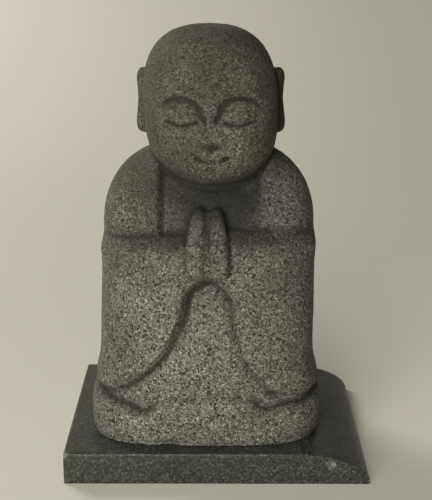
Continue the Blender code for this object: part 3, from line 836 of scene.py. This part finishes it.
def figure_granite():
    material, shader, place = new_stone("weathered_granite", FIGURE_ROUGHNESS)
    pick = grains(material, place, FIGURE_GRAIN, 0.9)
    minerals = [(0.0, MICA), (0.10, QUARTZ), (0.44, FELDSPAR), (0.87, PALE_FELDSPAR)]
    colour = stepped(material, pick, minerals, "CONSTANT")
    clot_pick = grains(material, place, CLOT, 1.1)
    clots = [(0.0, (0.20,) * 3), (CLOT_DARK_BELOW, (1.0,) * 3), (CLOT_PALE_ABOVE, (1.40,) * 3)]
    colour = mix(material, 1.0, colour, stepped(material, clot_pick, clots, "CONSTANT"), "MULTIPLY")

    cloud = add_node(material, "TexNoise", {"Vector": place, "Scale": 34.0, "Detail": 4.0})
    tone = stepped(material, cloud.outputs["Fac"], [(0.3, (0.82,) * 3), (0.7, (1.14,) * 3)])
    colour = mix(material, 1.0, colour, tone, "MULTIPLY")

    weather = add_node(material, "Attribute", attribute_name="weather").outputs["Fac"]
    stained = mix(material, 1.0, colour, (*STAIN, 1.0), "MULTIPLY")
    stained = mix(material, PATINA_COVER, stained, (*PATINA, 1.0))
    colour = mix(material, weather, colour, stained)
    # Dirt and painted shade, read from the attribute: darker in hollows, grooves and the shaded places
    dirt_and_shade = add_node(material, "Attribute", attribute_name="dirt_and_shade").outputs["Fac"]
    soiled_and_shaded = mix(material, 1.0, colour, (*SOIL_AND_SHADE, 1.0), "MULTIPLY")
    soiled_and_shaded = mix(material, DIRT_AND_SHADE_COVER, soiled_and_shaded, (*GROOVE_DIRT_AND_SHADE, 1.0))
    colour = mix(material, dirt_and_shade, colour, soiled_and_shaded)

    glint_pick = grains(material, place, GLINT_SIZE, 0.8)
    glint = stepped(material, glint_pick, [(0.0, (0.0,) * 3), (GLINT_ABOVE, (1.0,) * 3)], "CONSTANT")
    colour = mix(material, glint, colour, (*GLINT, 1.0))
    material.node_tree.links.new(colour, shader.inputs["Base Color"])

    relief = add_node(
        material, "TexNoise", {"Vector": place, "Scale": 620.0, "Detail": 4.0, "Roughness": 0.62}
    )
    bump = add_node(
        material, "Bump", {"Height": relief.outputs["Fac"], "Strength": 0.8, "Distance": FIGURE_RELIEF}
    )
    material.node_tree.links.new(bump.outputs[0], shader.inputs["Normal"])
    return material


lean = (HEAD[1][1], 0.0, 0.0)
meet = (HANDS_MEET_AT, 0.0, 0.0)
figure_mesh = fused([
    robe(), head(),
    shifted(ear(), lean), shifted(mirrored(ear()), lean),
    shifted(hand(), meet), shifted(mirrored(hand()), meet), shifted(palms(), meet),
])

# Age first: browner higher up and on top, in soft patches
points = read_points(figure_mesh)
x, y, z = points.T
upward = read_normals(figure_mesh)[:, 2]
patches = 0.5 + 0.5 * swells(points, 26.0, 50.0)
weather = AGED_ALL_OVER + AGED_HIGH_UP * ramp(z, 95.0, 190.0) + AGED_ON_TOP * ramp(upward, 0.0, 0.8)
# Lighter patches: painted light on the lower robe, the base's left and the right shoulder, and stone
# washed clean
for across, level, wide, tall, share in LIT_AND_WASHED:
    weather *= 1.0 - share * mound(x - across, z - level, wide, tall) * (y < 0)
keep(figure_mesh, "weather", np.clip(weather * (0.7 + 0.6 * patches), 0.0, 1.0))

# Then dirt and painted shade, in what is hollow and what is sheltered. The hands stand out and stay
# cleaner, the right one less so, where shade is painted on it
broad_hollow = hollowness(figure_mesh, BROAD_ROUNDS)
fine_hollow = hollowness(figure_mesh, FINE_ROUNDS)
on_face = ramp(z, 156.0, 166.0) * ramp(-y, 20.0, 36.0)
dirt_and_shade = BROAD_DIRT_AND_SHADE * ramp(broad_hollow, 0.12, 1.8) + FINE_DIRT_AND_SHADE * ramp(fine_hollow, 0.02, 0.24)
# The face's lines and hollows get extra painted shade, under the brows, along the lids, beside the
# nose and at the mouth
dirt_and_shade += FACE_FINE_SHADE * ramp(fine_hollow, 0.01, 0.12) * on_face
dirt_and_shade += FACE_BROAD_SHADE * ramp(broad_hollow, 0.02, 0.5) * on_face
# The right hand keeps part of the painted shade, as if in shadow
on_hands = ramp(-y, 50.0, 56.0) * ramp(-np.abs(x), -19.0, -14.0)
off_hands = 1.0 - on_hands * np.where(x < 0, 1.0, 0.60)
in_front = ramp(-y, -24.0, -14.0) * off_hands
# Painted shade and dirt at the listed spots: the chin's shadow on the chest, beside the hands, the arm
# line, the right ear, the hem
for across, level, wide, tall, share in PAINTED_SHADE_AND_DIRT:
    dirt_and_shade += share * mound(x - across, z - level, wide, tall) * in_front
keep(figure_mesh, "dirt_and_shade", np.clip(dirt_and_shade * (0.8 + 0.4 * patches), 0.0, MOST_DIRT_AND_SHADE))

# The hammer marks and pits come last, so that they hold no dirt or painted shade of their own
dress_skin(figure_mesh)
figure_mesh = thinned(figure_mesh, SKIN_TRIANGLES)

foot = max(BODY, key=lambda row: row[2])
stand = np.array([
    SLAB_LOW.x + LEFT_MARGIN + (foot[2] - foot[1]) * PART,
    SLAB_LOW.y + FRONT_MARGIN + foot[3] * PART,
    FIGURE_LOW.z,
])
placed = read_points(figure_mesh) * PART + stand
placed[:, 2] = np.minimum(placed[:, 2], FIGURE_HIGH.z)
write_points(figure_mesh, placed)
figure_mesh.shade_smooth()
figure_mesh.materials.clear()
figure_mesh.materials.append(figure_granite())
figure = bpy.data.objects.new("jizo_figure_stone", figure_mesh)
bpy.context.scene.collection.objects.link(figure)
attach(figure, "root")
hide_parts("jizo_figure")


# The floor
# A plain pale sheet of studio paper, flat under the slab and curving up far behind it, so that
# no edge of it is seen.
PAPER_TONE = (0.74, 0.715, 0.66)
PAPER_HALF_WIDTH = 5.0
PAPER_FRONT = -6.0
PAPER_TURN_AT = 0.7
PAPER_CURVE = 1.9
PAPER_RISE = 0.6
sheet = bmesh.new()
edge_verts = [sheet.verts.new((side * PAPER_HALF_WIDTH, PAPER_FRONT, 0.0)) for side in (-1, 1)]
edge = sheet.edges.new(edge_verts)
grown = bmesh.ops.extrude_edge_only(sheet, edges=[edge])
far_verts = [item for item in grown["geom"] if isinstance(item, bmesh.types.BMVert)]
bmesh.ops.translate(sheet, vec=(0.0, PAPER_TURN_AT - PAPER_FRONT, 0.0), verts=far_verts)
far_edge = [item for item in grown["geom"] if isinstance(item, bmesh.types.BMEdge)]
bent = bmesh.ops.spin(
    sheet, geom=far_verts + far_edge, cent=(0.0, PAPER_TURN_AT, PAPER_CURVE), axis=(1.0, 0.0, 0.0),
    angle=math.pi / 2, steps=24,
)
top_edge = [item for item in bent["geom_last"] if isinstance(item, bmesh.types.BMEdge)]
raised = bmesh.ops.extrude_edge_only(sheet, edges=top_edge)
bmesh.ops.translate(
    sheet, vec=(0.0, 0.0, PAPER_RISE),
    verts=[item for item in raised["geom"] if isinstance(item, bmesh.types.BMVert)],
)
bmesh.ops.recalc_face_normals(sheet, faces=sheet.faces)
paper_mesh = bpy.data.meshes.new("paper")
sheet.to_mesh(paper_mesh)
sheet.free()
paper_mesh.shade_smooth()
paper_material = bpy.data.materials.new("pale_paper")
paper_material.use_nodes = True
paper_shader = paper_material.node_tree.nodes["Principled BSDF"]
paper_shader.inputs["Base Color"].default_value = (*PAPER_TONE, 1.0)
paper_shader.inputs["Roughness"].default_value = 0.9
paper_mesh.materials.append(paper_material)
paper = bpy.data.objects.new("paper", paper_mesh)
bpy.context.scene.collection.objects.link(paper)


# The light
# Two broad soft lamps in front, a little to the left, one low and one high, and a third that
# lights the paper behind the statue. Each is given by its place, what it is aimed at and its power.
LAMP_SIZE = 0.9
LAMP_COLOUR = (1.0, 0.98, 0.88)
STATUE = Vector((0.0, 0.0, 0.12))
PAPER_BEHIND = Vector((0.0, 0.7, 0.0))
LOW_FRONT = ((-0.576, -1.582, 0.357), STATUE, 24.0)
HIGH_FRONT = ((-0.334, -0.916, 1.513), STATUE, 9.5)
LEFT_BEHIND = ((-1.4, 1.3, 1.3), PAPER_BEHIND, 23.0)
GLOW = (0.05, 0.049, 0.045)


def soft_lamp(name, spot, aimed_at, power):
    """A square lamp, seen only by its light."""
    lamp = bpy.data.lights.new(name, "AREA")
    lamp.size = LAMP_SIZE
    lamp.energy = power
    lamp.color = LAMP_COLOUR
    obj = bpy.data.objects.new(name, lamp)
    obj.location = spot
    obj.rotation_euler = (aimed_at - Vector(spot)).to_track_quat("-Z", "Y").to_euler()
    obj.visible_camera = False
    bpy.context.scene.collection.objects.link(obj)


soft_lamp("low_front", *LOW_FRONT)
soft_lamp("high_front", *HIGH_FRONT)
soft_lamp("left_behind", *LEFT_BEHIND)
world = bpy.data.worlds.new("studio")
world.use_nodes = True
world.node_tree.nodes["Background"].inputs["Color"].default_value = (*GLOW, 1.0)
bpy.context.scene.world = world
bpy.context.scene.view_settings.view_transform = "Standard"


# The camera
# It stands in front, a little above the head, and looks down at the statue. Its lens is given by
# how far off a thing stands that just fills the picture from top to bottom, in its own heights.
CAMERA_AT = (0.00145, -0.69756, 0.33845)
LOOKS_DOWN = math.radians(16.858)
LOOKS_LEFT = math.radians(0.176)
HEIGHTS_AWAY = 2.3
camera_data = bpy.data.cameras.new("camera")
camera_data.lens = HEIGHTS_AWAY * camera_data.sensor_width
camera_data.clip_start = 0.01
camera = bpy.data.objects.new("camera", camera_data)
camera.location = CAMERA_AT
camera.rotation_euler = (math.pi / 2 - LOOKS_DOWN, 0.0, LOOKS_LEFT)
bpy.context.scene.collection.objects.link(camera)
bpy.context.scene.camera = camera
